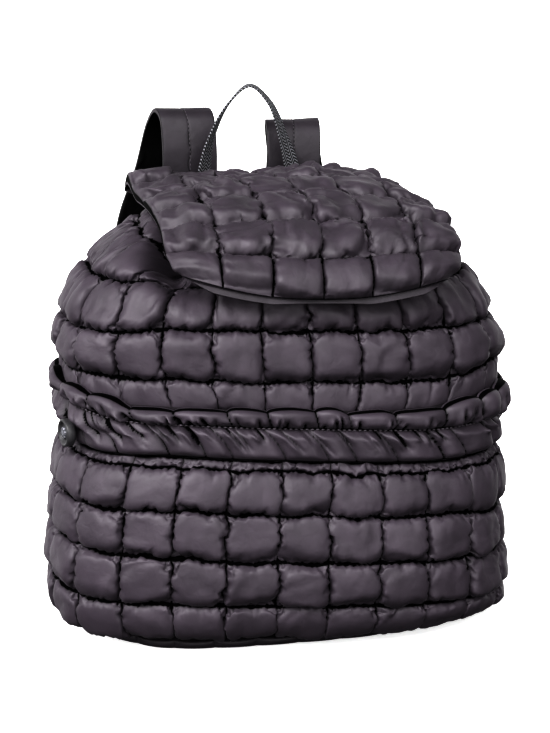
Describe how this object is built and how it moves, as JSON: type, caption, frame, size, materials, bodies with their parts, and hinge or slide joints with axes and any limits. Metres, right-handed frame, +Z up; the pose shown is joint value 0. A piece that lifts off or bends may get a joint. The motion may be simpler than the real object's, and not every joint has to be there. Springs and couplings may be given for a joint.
{
  "type": "quilted backpack",
  "caption": "Soft quilted backpack with a padded flap, a gathered front pocket with a cord toggle, padded shoulder straps and a webbing carry handle.",
  "frame": {"origin": "middle of the base panel, on the ground", "axes": "+Z up, -Y the front with the pocket and the flap's lip, +Y the wearer's back, +X the viewer's right"},
  "size_m": [0.3785, 0.3019, 0.4192],
  "materials": {
    "cloth": "satin padded nylon",
    "webbing": "herringbone webbing",
    "plastic": "satin moulded"
  },
  "bodies": {
    "root": {"base_panel": "cloth", "main_sack": "cloth", "back_panel": "cloth", "front_pocket": "cloth", "pocket_casing": "cloth", "flap": "cloth", "flap_facing": "cloth", "shoulder_strap_left": "cloth", "shoulder_strap_right": "cloth", "strap_webbing_left": "webbing", "strap_webbing_right": "webbing", "carry_handle": "webbing", "strap_slider_left": "plastic", "strap_slider_right": "plastic", "cord_toggle": "plastic"}
  },
  "joints": []
}
